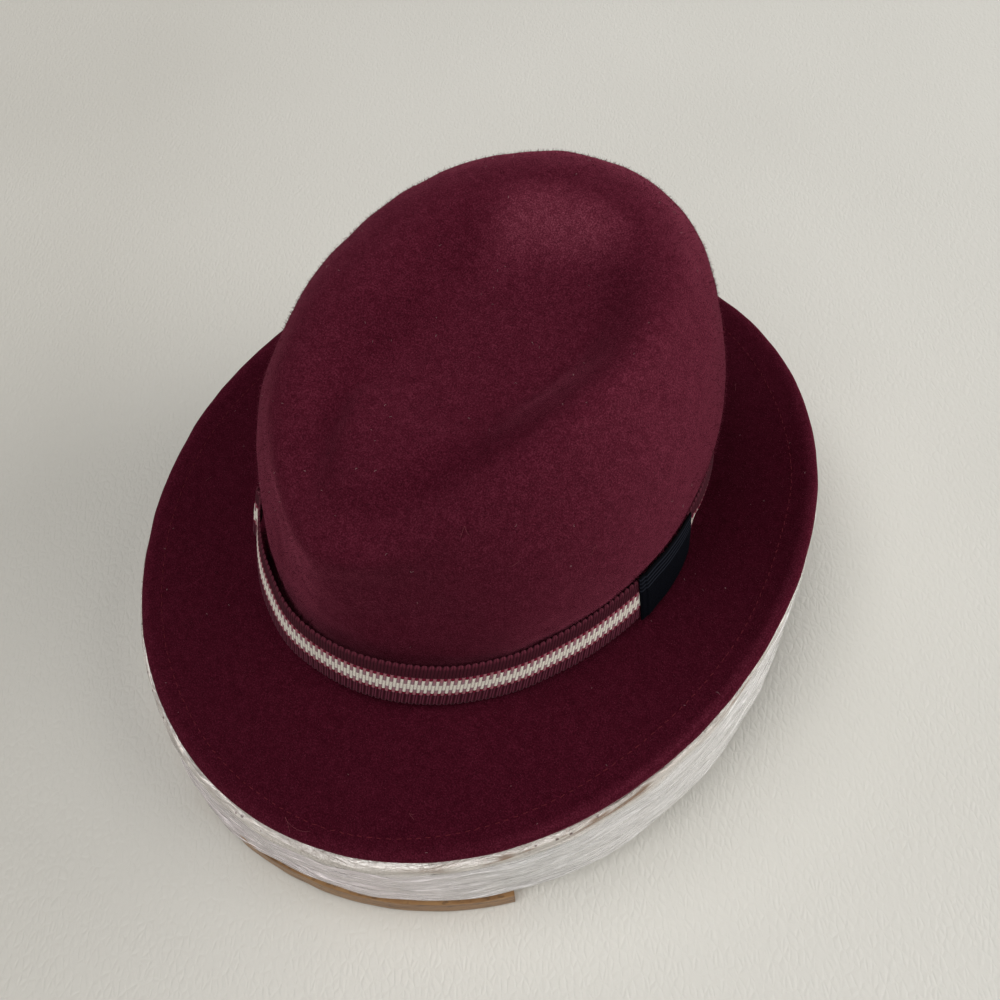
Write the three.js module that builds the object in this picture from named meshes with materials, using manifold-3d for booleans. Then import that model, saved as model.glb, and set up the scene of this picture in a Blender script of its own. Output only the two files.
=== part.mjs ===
// A trilby of wool felt on a brim block, in millimetres, +Z up.
// The origin is on the table under the middle of the block. The front of the hat faces -Y,
// and the wearer's left is +X. Angles go round the head oval from the front towards +X.
import * as THREE from 'three';
import { mergeVertices } from 'three/addons/utils/BufferGeometryUtils.js';
import Module from 'manifold-3d';

const wasm = await Module();
wasm.setup();

// Head oval, where the crown meets the brim
const headHalfWidth = 78;
const headHalfLength = 100;

// Felt
const crownHeight = 123;
const brimWidth = 60;
const brimDrop = 23.2;
const feltThickness = 2;
const hemWidth = 10.8;
const hemThickness = 1.8;
const breakRadius = 6;

// Front pinches, one on each side of the nose. They grow from pinchStart to pinchFull up the
// crown, then fade from pinchFade to pinchLeft of their depth at the rim.
const pinchDepth = 5.5;
const pinchAngle = 23;
const pinchSpread = 17;
const pinchStart = 0.12;
const pinchFull = 0.65;
const pinchFade = 0.72;
const pinchLeft = 0.25;

// Teardrop dent in the top of the crown. It sits a little nearer the wearer's left, where the
// crown's rim leans out by rimLean. The lean starts at rimLeanShare of the rim's height.
const dentWall = 28;
const dentMiddle = -8;
const rimLean = 7;
const rimLeanShare = 0.9;

// Ribbon band and the tab over its join
const ribbonWidth = 20;
const ribbonThickness = 0.8;
const ribbonLift = 4.5;
const ribbonFlare = 6.5;
const ribbonFlareSwing = 1.4;
const ribbonTopGap = 1;
const ribbonFrontGap = 5;
const ribbonGapAngle = 18;
const tabAngle = 92;
const tabLength = 28;
const tabOver = 2.2;
const tabUnder = 0.6;
const tabThickness = 1.4;

// Brim block, the stand
const blockFrontHeight = 41.2;
const blockOverhang = 1.5;
const blockEdgeRound = 3;
const blockUnderRound = 4;
const underFacet = 0.3;
const holeMargin = 1;
const footHeight = 10;
const footReach = 42;
const footProud = 0.5;
const footWidth = 34;

// Pieces that touch keep this gap
const clearance = 0.3;

const columns = 64;
const degree = Math.PI / 180;

// Stations round the hat, the same on both sides. rim is the crown's height there and edge the
// brim edge's rise, as shares of crownHeight and brimDrop; brim is a share of brimWidth; curl is
// the power that keeps the brim flat near the crown and turns it at the edge.
const stations = [
  { angle: 0, rim: 0.615, brim: 1.0, edge: -1.0, curl: 1.25 },
  { angle: 22.5, rim: 0.64, brim: 0.998, edge: -0.83, curl: 1.3 },
  { angle: 45, rim: 0.78, brim: 0.975, edge: -0.42, curl: 1.5 },
  { angle: 67.5, rim: 0.905, brim: 0.922, edge: 0.05, curl: 1.9 },
  { angle: 90, rim: 0.955, brim: 0.853, edge: 0.39, curl: 2.2 },
  { angle: 112.5, rim: 0.975, brim: 0.805, edge: 0.52, curl: 2.3 },
  { angle: 135, rim: 0.988, brim: 0.795, edge: 0.435, curl: 2.2 },
  { angle: 157.5, rim: 0.997, brim: 0.83, edge: 0.27, curl: 2.0 },
  { angle: 180, rim: 1.0, brim: 0.85, edge: 0.18, curl: 1.9 },
];

// Sections of the crown, from the brim break to the top of its rim. height is a share of the
// rim's height at that side; side is a share of headHalfWidth, front and back of headHalfLength.
// shift is how far behind the middle the crown is widest, as a share of headHalfLength.
const sections = [
  { height: 0.0, side: 1.0, front: 0.99, back: 1.02, shift: 0.0 },
  { height: 0.2, side: 1.02, front: 0.985, back: 1.035, shift: 0.005 },
  { height: 0.3, side: 1.06, front: 0.985, back: 1.035, shift: 0.012 },
  { height: 0.44, side: 1.066, front: 0.984, back: 1.03, shift: 0.028 },
  { height: 0.58, side: 1.036, front: 0.982, back: 1.012, shift: 0.044 },
  { height: 0.7, side: 0.985, front: 0.978, back: 0.993, shift: 0.058 },
  { height: 0.8, side: 0.912, front: 0.972, back: 0.965, shift: 0.068 },
  { height: 0.9, side: 0.815, front: 0.96, back: 0.875, shift: 0.072 },
  { height: 0.96, side: 0.742, front: 0.94, back: 0.785, shift: 0.072 },
  { height: 0.99, side: 0.685, front: 0.91, back: 0.72, shift: 0.072 },
  { height: 1.0, side: 0.635, front: 0.88, back: 0.67, shift: 0.072 },
];

// The dent's wall, round the hat from the front by the wearer's left. start is how far in from
// the rim it begins and width how wide it is, as shares of dentWall.
const dentWalls = [
  { angle: 0, start: 0, width: 0.5 },
  { angle: 45, start: 0, width: 1.0 },
  { angle: 90, start: 0, width: 0.75 },
  { angle: 135, start: 0.05, width: 0.85 },
  { angle: 180, start: 0.25, width: 1.3 },
  { angle: 225, start: 0.35, width: 1.25 },
  { angle: 270, start: 0.4, width: 1.15 },
  { angle: 315, start: 0.2, width: 1.1 },
  { angle: 360, start: 0, width: 0.5 },
];

// The dent's floor from front to back. back is how far behind the middle, as a share of
// headHalfLength, and height is a share of crownHeight. It rises to a low lip before the front.
const dentFloor = [
  { back: -0.92, height: 0.618 },
  { back: -0.76, height: 0.703 },
  { back: -0.62, height: 0.76 },
  { back: -0.5, height: 0.783 },
  { back: -0.38, height: 0.78 },
  { back: -0.2, height: 0.793 },
  { back: 0.05, height: 0.837 },
  { back: 0.35, height: 0.894 },
  { back: 0.65, height: 0.951 },
];

// Where the felt's rings lie: shares of the way from the dent's middle to the rim, then shares of
// the rim's height going down, then shares of a right angle round the break, then of the brim as
// far as the hem. The block's top has rings of its own, at shares of the whole brim.
const dentRings = [0.22, 0.42, 0.58, 0.68, 0.76, 0.83, 0.89, 0.95];
const wallRings = [1.0, 0.99, 0.965, 0.92, 0.85, 0.76, 0.65, 0.53, 0.42, 0.32, 0.24, 0.15];
const breakRings = [0.1, 0.4, 0.7, 1.0];
const brimRings = [0.16, 0.34, 0.52, 0.7];
const blockRings = [0, 0.35, 0.6, 0.8, 1];

// Where along the brim the block's top starts to sink for the hem
const hemSinkStart = 0.4;

const lerp = (a, b, share) => a + (b - a) * share;

function smooth(share) {
  const s = Math.min(1, Math.max(0, share));
  return s * s * (3 - 2 * s);
}

// Reads a column of a table at a place between its rows, on a smooth curve
function readTable(rows, key, column, place) {
  const last = rows.length - 1;
  let i = 0;
  while (i < last - 1 && place > rows[i + 1][key]) i += 1;
  const slopeAt = (j) => {
    if (j === 0 || j === last) return 0;
    const rise = rows[j + 1][column] - rows[j - 1][column];
    return rise / (rows[j + 1][key] - rows[j - 1][key]);
  };
  const span = rows[i + 1][key] - rows[i][key];
  const s = Math.min(1, Math.max(0, (place - rows[i][key]) / span));
  const ease = smooth(s);
  const lead = s * (1 - s) * (1 - s) * span * slopeAt(i);
  const trail = s * s * (s - 1) * span * slopeAt(i + 1);
  return lerp(rows[i][column], rows[i + 1][column], ease) + lead + trail;
}

// The angle from the front, from 0 to 180 on either side
function turnFromFront(angle) {
  return Math.abs((((angle % 360) + 540) % 360) - 180);
}

const atStation = (angle, column) => readTable(stations, 'angle', column, turnFromFront(angle));

// A point of an oval, and the way out from it, in plan
function oval(angle, halfWidth, front, back) {
  const a = angle * degree;
  const length = Math.cos(a) > 0 ? front : back;
  const out = new THREE.Vector2(Math.sin(a) / halfWidth, -Math.cos(a) / length).normalize();
  return { at: new THREE.Vector2(Math.sin(a) * halfWidth, -Math.cos(a) * length), out };
}

function pinch(angle, height) {
  const fromPinch = (turnFromFront(angle) - pinchAngle) / pinchSpread;
  const grown = smooth((height - pinchStart) / (pinchFull - pinchStart));
  const faded = lerp(1, pinchLeft, smooth((height - pinchFade) / (1 - pinchFade)));
  return pinchDepth * Math.exp(-fromPinch * fromPinch) * grown * faded;
}

// The crown's outside in plan, at a share of the rim's height
function crownPlan(angle, height) {
  const side = readTable(sections, 'height', 'side', height) * headHalfWidth;
  const front = readTable(sections, 'height', 'front', height) * headHalfLength;
  const back = readTable(sections, 'height', 'back', height) * headHalfLength;
  const shift = readTable(sections, 'height', 'shift', height) * headHalfLength;
  const lean = rimLean * Math.max(0, Math.sin(angle * degree));
  const halfWidth = side + lean * smooth((height - rimLeanShare) / (1 - rimLeanShare));
  const { at, out } = oval(angle, halfWidth, front + shift, back - shift);
  at.y += shift;
  return { at: at.addScaledVector(out, -pinch(angle, height)), out };
}

const rimHeight = (angle) => atStation(angle, 'rim') * crownHeight;

function crownPoint(angle, height) {
  const { at } = crownPlan(angle, height);
  return new THREE.Vector3(at.x, at.y, height * rimHeight(angle));
}

// The top inside the rim, at a share of the way out from the dent's middle
function dentPoint(angle, share) {
  const rim = crownPoint(angle, 1);
  const x = rim.x * share;
  const y = lerp(dentMiddle, rim.y, share);
  const fromRim = (1 - share) * Math.hypot(rim.x, rim.y - dentMiddle);
  const floor = readTable(dentFloor, 'back', 'height', y / headHalfLength) * crownHeight;
  const start = readTable(dentWalls, 'angle', 'start', angle) * dentWall;
  const width = readTable(dentWalls, 'angle', 'width', angle) * dentWall;
  const down = smooth((fromRim - start) / width);
  return new THREE.Vector3(x, y, lerp(rim.z, floor, down));
}

// The round corner between the crown and the brim
function breakPoint(angle, share) {
  const { at, out } = crownPlan(angle, 0);
  const turn = share * 90 * degree;
  const off = breakRadius * (1 - Math.cos(turn));
  return new THREE.Vector3(at.x + out.x * off, at.y + out.y * off, breakRadius * (1 - Math.sin(turn)));
}

// The brim's top, at a distance out from the break
function brimPoint(angle, distance) {
  const { at, out } = crownPlan(angle, 0);
  const width = atStation(angle, 'brim') * brimWidth - breakRadius;
  const rise = atStation(angle, 'edge') * brimDrop;
  const z = rise * Math.pow(Math.max(0, distance) / width, atStation(angle, 'curl'));
  const off = breakRadius + distance;
  return new THREE.Vector3(at.x + out.x * off, at.y + out.y * off, z);
}

const brimReach = (angle) => atStation(angle, 'brim') * brimWidth - breakRadius;

const ringAngles = Array.from({ length: columns }, (_, i) => (i * 360) / columns);

// Fills in a closed surface through rings of points. A ring of one point closes an end, and
// with no such ends the last ring joins the first.
function surfaceThrough(rings) {
  const starts = [];
  const vertices = [];
  rings.forEach((ring) => {
    starts.push(vertices.length / 3);
    ring.forEach((p) => vertices.push(p.x, p.y, p.z));
  });
  const at = (r, c) => starts[r] + (rings[r].length === 1 ? 0 : c % rings[r].length);
  const closed = rings[0].length > 1;
  const faces = [];
  for (let r = 0; r < rings.length - (closed ? 0 : 1); r += 1) {
    const next = (r + 1) % rings.length;
    const count = Math.max(rings[r].length, rings[next].length);
    for (let c = 0; c < count; c += 1) {
      if (rings[next].length > 1) faces.push(at(r, c), at(next, c), at(next, c + 1));
      if (rings[r].length > 1) faces.push(at(r, c), at(next, c + 1), at(r, c + 1));
    }
  }
  const geometry = new THREE.BufferGeometry();
  geometry.setAttribute('position', new THREE.Float32BufferAttribute(vertices, 3));
  geometry.setIndex(faces);
  geometry.computeVertexNormals();
  return geometry;
}

// The way out of a grid of points at one of them
function normalOf(grid, r, c) {
  const round = grid[r].length;
  const across = grid[r][(c + 1) % round].clone().sub(grid[r][(c + round - 1) % round]);
  const before = grid[Math.max(0, r - 1)];
  const after = grid[Math.min(grid.length - 1, r + 1)];
  const along = after[c].clone().sub(before[before.length === 1 ? 0 : c]);
  return along.cross(across).normalize();
}

// Top of the felt, ring by ring, out to the start of its rounded edge
function feltTop() {
  const rings = [];
  dentRings.forEach((share) => rings.push(ringAngles.map((a) => dentPoint(a, share))));
  wallRings.forEach((height) => rings.push(ringAngles.map((a) => crownPoint(a, height))));
  breakRings.forEach((share) => rings.push(ringAngles.map((a) => breakPoint(a, share))));
  const edgeRound = (feltThickness + hemThickness) / 2;
  brimRings.forEach((share) => {
    rings.push(ringAngles.map((a) => brimPoint(a, share * (brimReach(a) - hemWidth))));
  });
  rings.push(ringAngles.map((a) => brimPoint(a, brimReach(a) - hemWidth)));
  rings.push(ringAngles.map((a) => brimPoint(a, brimReach(a) - hemWidth / 2)));
  rings.push(ringAngles.map((a) => brimPoint(a, brimReach(a) - edgeRound)));
  return rings;
}

function feltBody() {
  const top = feltTop();
  const last = top.length - 1;
  const hemStart = last - 2;
  const hemTotal = feltThickness + hemThickness;
  const lowerPoint = (p, r, c, depth) => p.clone().addScaledVector(normalOf(top, r, c), -depth);
  const lowered = (r, depth) => top[r].map((p, c) => lowerPoint(p, r, c, depth));
  const edge = top[last].map((p, c) => {
    const out = p.clone().sub(top[last - 1][c]).normalize();
    return lowerPoint(p, last, c, hemTotal / 2).addScaledVector(out, hemTotal / 2);
  });
  const under = [lowered(last, hemTotal), lowered(last - 1, hemTotal), lowered(hemStart, hemTotal)];
  for (let r = hemStart - 1; r >= 0; r -= 1) under.push(lowered(r, feltThickness));
  const dentPole = dentPoint(0, 0);
  const innerPole = dentPole.clone();
  innerPole.z -= feltThickness;
  return surfaceThrough([[dentPole], ...top, edge, ...under, [innerPole]]);
}

// The band's inner side. Its top edge hugs the crown except near ribbonGapAngle, where it spans
// the pinch, and its bottom edge flares out over the brim break.
function ribbonPoint(angle, share, out) {
  const front = Math.cos(angle * degree);
  const nearGap = Math.max(0, Math.cos((angle - ribbonGapAngle) * degree)) ** 4;
  const gap = lerp(ribbonTopGap, ribbonFrontGap, nearGap);
  const foot = crownPlan(angle, 0);
  const z = lerp(ribbonLift, ribbonLift + ribbonWidth, share);
  const wall = crownPlan(angle, (ribbonLift + ribbonWidth) / rimHeight(angle));
  const low = foot.at.clone().addScaledVector(foot.out, ribbonFlare + ribbonFlareSwing * front);
  const high = wall.at.clone().addScaledVector(wall.out, gap);
  const plan = low.lerp(high, share).addScaledVector(foot.out, out);
  return new THREE.Vector3(plan.x, plan.y, z);
}

function ribbonBand() {
  const corners = [[0, 0], [1, 0], [1, ribbonThickness], [0, ribbonThickness]];
  return surfaceThrough(corners.map(([share, out]) => ringAngles.map((a) => ribbonPoint(a, share, out))));
}

// A flat loop of ribbon that wraps the band over its join
function ribbonTab() {
  const steps = 8;
  const middle = crownPlan(tabAngle, 0).at.length();
  const halfTurn = tabLength / 2 / middle / degree;
  const start = ribbonThickness + clearance;
  const low = -tabUnder / ribbonWidth;
  const high = 1 + tabOver / ribbonWidth;
  const face = [];
  for (let i = 0; i <= steps; i += 1) {
    const angle = tabAngle - halfTurn + (2 * halfTurn * i) / steps;
    face.push([
      ribbonPoint(angle, low, start),
      ribbonPoint(angle, low, start + tabThickness),
      ribbonPoint(angle, high, start + tabThickness),
      ribbonPoint(angle, high, start),
    ]);
  }
  return prismThrough(face);
}

// A closed bar through a row of four-cornered sections
function prismThrough(rows) {
  const vertices = [];
  rows.forEach((row) => row.forEach((p) => vertices.push(p.x, p.y, p.z)));
  const faces = [];
  const quad = (a, b, c, d) => faces.push(a, c, b, a, d, c);
  for (let i = 0; i < rows.length - 1; i += 1) {
    for (let k = 0; k < 4; k += 1) {
      const next = (k + 1) % 4;
      quad(4 * i + k, 4 * i + next, 4 * i + 4 + next, 4 * i + 4 + k);
    }
  }
  const end = 4 * (rows.length - 1);
  quad(3, 2, 1, 0);
  quad(end, end + 1, end + 2, end + 3);
  const geometry = new THREE.BufferGeometry();
  geometry.setAttribute('position', new THREE.Float32BufferAttribute(vertices, 3));
  geometry.setIndex(faces);
  geometry.computeVertexNormals();
  return geometry;
}

// Height of the brim break above the table
const breakHeight = blockFrontHeight + clearance + feltThickness + hemThickness + brimDrop;

// The block's top, which carries the brim from below
function blockTop(angle, share) {
  const reach = brimReach(angle);
  const distance = share * reach;
  const p = brimPoint(angle, distance);
  const nearby = brimPoint(angle, distance + 1);
  const slope = nearby.z - p.z;
  const sunk = smooth((share - hemSinkStart) / (1 - hemWidth / reach - hemSinkStart));
  const under = (feltThickness + hemThickness * sunk + clearance) * Math.hypot(1, slope);
  return new THREE.Vector3(p.x, p.y, p.z - under);
}

function blockOutline(angle, out, z) {
  const { out: way } = crownPlan(angle, 0);
  const edge = brimPoint(angle, brimReach(angle) + out);
  return new THREE.Vector3(edge.x, edge.y, z);
}

function blockRing() {
  const floor = footHeight - breakHeight;
  const facet = blockUnderRound * underFacet;
  const hole = (z) => ringAngles.map((a) => {
    const { at, out } = crownPlan(a, 0);
    return new THREE.Vector3(at.x + out.x * holeMargin, at.y + out.y * holeMargin, z ?? blockTop(a, 0).z);
  });
  const shoulder = (a) => blockTop(a, 1).z;
  return surfaceThrough([
    hole(),
    ...blockRings.map((share) => ringAngles.map((a) => blockTop(a, share))),
    ringAngles.map((a) => blockOutline(a, blockOverhang, shoulder(a) - blockEdgeRound)),
    ringAngles.map((a) => blockOutline(a, blockOverhang, floor + blockUnderRound)),
    ringAngles.map((a) => blockOutline(a, blockOverhang - facet, floor + facet)),
    ringAngles.map((a) => blockOutline(a, blockOverhang - blockUnderRound, floor)),
    hole(floor),
  ]);
}

// One foot under the block, round the front or the back
function blockFoot(middle) {
  const steps = 16;
  const low = -breakHeight;
  const high = footHeight - breakHeight + blockUnderRound;
  const rows = [];
  for (let i = 0; i <= steps; i += 1) {
    const angle = middle - footReach + (2 * footReach * i) / steps;
    const outer = blockOverhang + footProud;
    rows.push([
      blockOutline(angle, outer - footWidth, low),
      blockOutline(angle, outer, low),
      blockOutline(angle, outer, high),
      blockOutline(angle, outer - footWidth, high),
    ]);
  }
  return prismThrough(rows);
}

function toSolid(geometry) {
  const bare = geometry.clone();
  bare.deleteAttribute('normal');
  bare.deleteAttribute('uv');
  const merged = mergeVertices(bare);
  return new wasm.Manifold(new wasm.Mesh({
    numProp: 3,
    vertProperties: new Float32Array(merged.attributes.position.array),
    triVerts: new Uint32Array(merged.index.array),
  }));
}

function toGeometry(solid) {
  const mesh = solid.getMesh();
  const geometry = new THREE.BufferGeometry();
  geometry.setAttribute('position', new THREE.BufferAttribute(mesh.vertProperties, 3));
  geometry.setIndex(new THREE.BufferAttribute(mesh.triVerts, 1));
  geometry.computeVertexNormals();
  return geometry;
}

function brimBlock() {
  const front = toSolid(blockFoot(0));
  const back = toSolid(blockFoot(180));
  return toGeometry(toSolid(blockRing()).add(front).add(back));
}

const feltMaterial = new THREE.MeshStandardMaterial({ color: 0x5a1424, roughness: 0.95, metalness: 0 });
const bandMaterial = new THREE.MeshStandardMaterial({ color: 0x6b2f40, roughness: 0.7, metalness: 0 });
const tabMaterial = new THREE.MeshStandardMaterial({ color: 0x101014, roughness: 0.75, metalness: 0 });
const blockMaterial = new THREE.MeshStandardMaterial({ color: 0xb8a890, roughness: 0.55, metalness: 0 });

function piece(name, geometry, material) {
  const mesh = new THREE.Mesh(geometry, material);
  mesh.name = name;
  return mesh;
}

// The middle of the block's outline lies over the origin
const frontReach = blockOutline(0, blockOverhang, 0).y;
const backReach = blockOutline(180, blockOverhang, 0).y;

const trilby = new THREE.Group();
trilby.position.set(0, -(frontReach + backReach) / 2, breakHeight);
trilby.add(piece('felt_body', feltBody(), feltMaterial));
trilby.add(piece('ribbon_band', ribbonBand(), bandMaterial));
trilby.add(piece('ribbon_tab', ribbonTab(), tabMaterial));
trilby.add(piece('brim_block', brimBlock(), blockMaterial));

export default trilby;
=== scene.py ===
import bpy
import numpy as np
from mathutils import Matrix, Vector


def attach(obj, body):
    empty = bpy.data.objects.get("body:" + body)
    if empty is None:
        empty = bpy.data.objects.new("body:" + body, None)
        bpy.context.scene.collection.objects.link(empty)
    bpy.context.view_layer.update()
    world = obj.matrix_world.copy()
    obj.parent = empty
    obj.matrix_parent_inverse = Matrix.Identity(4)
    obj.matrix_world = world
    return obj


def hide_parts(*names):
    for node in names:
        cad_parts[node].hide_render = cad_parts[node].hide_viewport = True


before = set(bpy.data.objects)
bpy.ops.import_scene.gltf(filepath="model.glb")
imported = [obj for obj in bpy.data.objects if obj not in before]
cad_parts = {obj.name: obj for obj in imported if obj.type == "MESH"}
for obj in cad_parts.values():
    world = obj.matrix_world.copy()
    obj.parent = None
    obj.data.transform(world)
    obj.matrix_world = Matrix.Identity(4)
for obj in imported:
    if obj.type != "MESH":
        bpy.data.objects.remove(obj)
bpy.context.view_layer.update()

MM = 0.001

# Head oval, felt and brim
HEAD_HALF_WIDTH = 78
HEAD_HALF_LENGTH = 100
CROWN_HEIGHT = 123
BRIM_WIDTH = 60
BRIM_DROP = 23.2
FELT_THICKNESS = 2
HEM_WIDTH = 10.8
HEM_THICKNESS = 1.8
BREAK_RADIUS = 6

# Front pinches
PINCH_DEPTH = 5.5
PINCH_ANGLE = 23
PINCH_SPREAD = 17
PINCH_START = 0.18
PINCH_FULL = 0.65
PINCH_FADE = 0.72
PINCH_LEFT = 0.25

# Teardrop dent, which sits a little nearer the wearer's left
DENT_WALL = 28
DENT_MIDDLE = -8
RIM_LEAN = 7
RIM_LEAN_START = 0.9

# Ribbon and tab
RIBBON_WIDTH = 20
RIBBON_THICKNESS = 0.8
RIBBON_LIFT = 4.5
RIBBON_FLARE = 6.1
RIBBON_FLARE_SWING = 1.4
RIBBON_TOP_GAP = 1
RIBBON_FRONT_GAP = 4
RIBBON_GAP_ANGLE = 5
# Behind the tab the band's foot hugs the crown
RIBBON_DIP = 5.2
RIBBON_DIP_ANGLE = 120
RIBBON_DIP_SPREAD = 17
TAB_ANGLE = 92
TAB_LENGTH = 28
TAB_OVER = 2.2
TAB_UNDER = 1.8
TAB_THICKNESS = 1.4

# Brim block
BLOCK_FRONT_HEIGHT = 41.2
BLOCK_OVERHANG = 1.5
BLOCK_EDGE_ROUND = 3
BLOCK_UNDER_ROUND = 4
HOLE_MARGIN = 1
FOOT_HEIGHT = 10
FOOT_REACH = 42
FOOT_PROUD = 0.5
FOOT_WIDTH = 34
HEM_SINK_START = 0.4
CLEARANCE = 0.3

BREAK_HEIGHT = BLOCK_FRONT_HEIGHT + CLEARANCE + FELT_THICKNESS + HEM_THICKNESS + BRIM_DROP
EDGE_ROUND = (FELT_THICKNESS + HEM_THICKNESS) / 2

# Round the hat, the same on both sides: rim and edge heights as shares of CROWN_HEIGHT and
# BRIM_DROP, brim as a share of BRIM_WIDTH, and the brim's curl as a power.
STATIONS = {
    "angle": [0, 22.5, 45, 67.5, 90, 112.5, 135, 157.5, 180],
    "rim": [0.615, 0.64, 0.78, 0.905, 0.955, 0.975, 0.988, 0.997, 1.0],
    "brim": [1.0, 0.998, 0.975, 0.922, 0.853, 0.805, 0.795, 0.83, 0.85],
    "edge": [-1.0, -0.83, -0.42, 0.05, 0.39, 0.52, 0.435, 0.27, 0.18],
    "curl": [1.25, 1.3, 1.5, 1.9, 2.2, 2.3, 2.2, 2.0, 1.9],
}

# Up the crown, height being a share of the rim's: half widths as shares of the head oval's, and
# how far behind the middle the crown is widest.
SECTIONS = {
    "height": [0, 0.2, 0.3, 0.44, 0.58, 0.7, 0.8, 0.9, 0.96, 0.99, 1.0],
    "side": [1.0, 1.02, 1.06, 1.066, 1.036, 0.985, 0.912, 0.815, 0.742, 0.685, 0.635],
    "front": [0.99, 0.985, 0.985, 0.984, 0.982, 0.978, 0.972, 0.96, 0.94, 0.91, 0.88],
    "back": [1.02, 1.035, 1.035, 1.03, 1.012, 0.993, 0.965, 0.875, 0.785, 0.72, 0.67],
    "shift": [0, 0.005, 0.012, 0.028, 0.044, 0.058, 0.068, 0.072, 0.072, 0.072, 0.072],
}

# Round the hat from the front by the wearer's left: where the dent's wall starts, measured
# inward from the rim, and how wide the wall is, as shares of DENT_WALL
DENT_WALLS = {
    "angle": [0, 45, 90, 135, 180, 225, 270, 315, 360],
    "start": [0, 0, 0, 0.05, 0.25, 0.35, 0.4, 0.2, 0],
    "width": [0.5, 1.0, 0.75, 0.85, 1.3, 1.25, 1.15, 1.1, 0.5],
}

# The dent's floor along the middle of the hat, front to back: how far behind the middle, height
DENT_FLOOR = {
    "back": [-92, -76, -62, -50, -38, -20, 5, 35, 65],
    "height": [76, 86.5, 93.5, 96.3, 96, 97.5, 103, 110, 117],
}


def smooth(share):
    s = np.clip(share, 0, 1)
    return s * s * (3 - 2 * s)


def lerp(a, b, share):
    return a + (b - a) * share


def bell(value, middle, spread):
    """1 at the middle, and nearly 0 at twice the spread from it."""
    return np.exp(-(((value - middle) / spread) ** 2))


def unit(ways):
    return ways / np.maximum(np.linalg.norm(ways, axis=-1, keepdims=True), 1e-9)


def length_along(line):
    """The length of a line up to each of its points."""
    return np.concatenate([[0], np.cumsum(np.linalg.norm(np.diff(line, axis=0), axis=1))])


def read_table(table, key, column, place):
    """A column of a table at places between its rows, on a smooth curve."""
    keys = np.array(table[key], float)
    values = np.array(table[column], float)
    slopes = np.zeros(len(keys))
    slopes[1:-1] = (values[2:] - values[:-2]) / (keys[2:] - keys[:-2])
    i = np.clip(np.searchsorted(keys, place) - 1, 0, len(keys) - 2)
    span = keys[i + 1] - keys[i]
    s = np.clip((place - keys[i]) / span, 0, 1)
    lead = s * (1 - s) ** 2 * span * slopes[i]
    trail = s * s * (s - 1) * span * slopes[i + 1]
    return lerp(values[i], values[i + 1], smooth(s)) + lead + trail


def turn_from_front(angle):
    return np.abs((np.mod(angle, 360) + 540) % 360 - 180)


def at_station(angle, column):
    return read_table(STATIONS, "angle", column, turn_from_front(angle))


def pinch(angle, height):
    near = bell(turn_from_front(angle), PINCH_ANGLE, PINCH_SPREAD)
    grown = smooth((height - PINCH_START) / (PINCH_FULL - PINCH_START))
    faded = lerp(1, PINCH_LEFT, smooth((height - PINCH_FADE) / (1 - PINCH_FADE)))
    return PINCH_DEPTH * near * grown * faded


def crown_plan(angle, height):
    """The crown's outside in plan and the way out from it."""
    angle, height = np.broadcast_arrays(np.asarray(angle, float), np.asarray(height, float))
    side = read_table(SECTIONS, "height", "side", height) * HEAD_HALF_WIDTH
    front = read_table(SECTIONS, "height", "front", height) * HEAD_HALF_LENGTH
    back = read_table(SECTIONS, "height", "back", height) * HEAD_HALF_LENGTH
    shift = read_table(SECTIONS, "height", "shift", height) * HEAD_HALF_LENGTH
    a = np.radians(angle)
    lean = smooth((height - RIM_LEAN_START) / (1 - RIM_LEAN_START))
    side = side + RIM_LEAN * np.maximum(0, np.sin(a)) * lean
    length = np.where(np.cos(a) > 0, front + shift, back - shift)
    out = unit(np.stack([np.sin(a) / side, -np.cos(a) / length], -1))
    at = np.stack([np.sin(a) * side, shift - np.cos(a) * length], -1)
    return at - out * pinch(angle, height)[..., None], out


def rim_height(angle):
    return at_station(angle, "rim") * CROWN_HEIGHT


def lifted(plan, z):
    return np.concatenate([plan, np.broadcast_to(z, plan.shape[:-1])[..., None]], -1)


def crown_point(angle, height):
    at, _ = crown_plan(angle, height)
    return lifted(at, height * rim_height(angle))


def dent_point(angle, share):
    rim = crown_point(angle, 1.0)
    x = rim[..., 0] * share
    y = lerp(DENT_MIDDLE, rim[..., 1], share)
    from_rim = (1 - share) * np.hypot(rim[..., 0], rim[..., 1] - DENT_MIDDLE)
    floor = read_table(DENT_FLOOR, "back", "height", y)
    down = smooth(dent_share(angle, from_rim))
    return np.stack([x, y, lerp(rim[..., 2], floor, down)], -1)


def dent_share(angle, from_rim):
    """How far down the dent's wall a point lies, from 0 at the top to 1 at the floor."""
    start = read_table(DENT_WALLS, "angle", "start", np.mod(angle, 360)) * DENT_WALL
    width = read_table(DENT_WALLS, "angle", "width", np.mod(angle, 360)) * DENT_WALL
    return (from_rim - start) / width


def break_point(angle, share):
    at, out = crown_plan(angle, 0.0)
    turn = share * np.pi / 2
    return lifted(at + out * BREAK_RADIUS * (1 - np.cos(turn)), BREAK_RADIUS * (1 - np.sin(turn)))


def brim_reach(angle):
    return at_station(angle, "brim") * BRIM_WIDTH - BREAK_RADIUS


def brim_point(angle, distance):
    at, out = crown_plan(angle, 0.0)
    share = np.maximum(0, distance) / brim_reach(angle)
    z = at_station(angle, "edge") * BRIM_DROP * share ** at_station(angle, "curl")
    off = np.broadcast_to(BREAK_RADIUS + distance, at.shape[:-1])
    return lifted(at + out * off[..., None], z)


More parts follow.
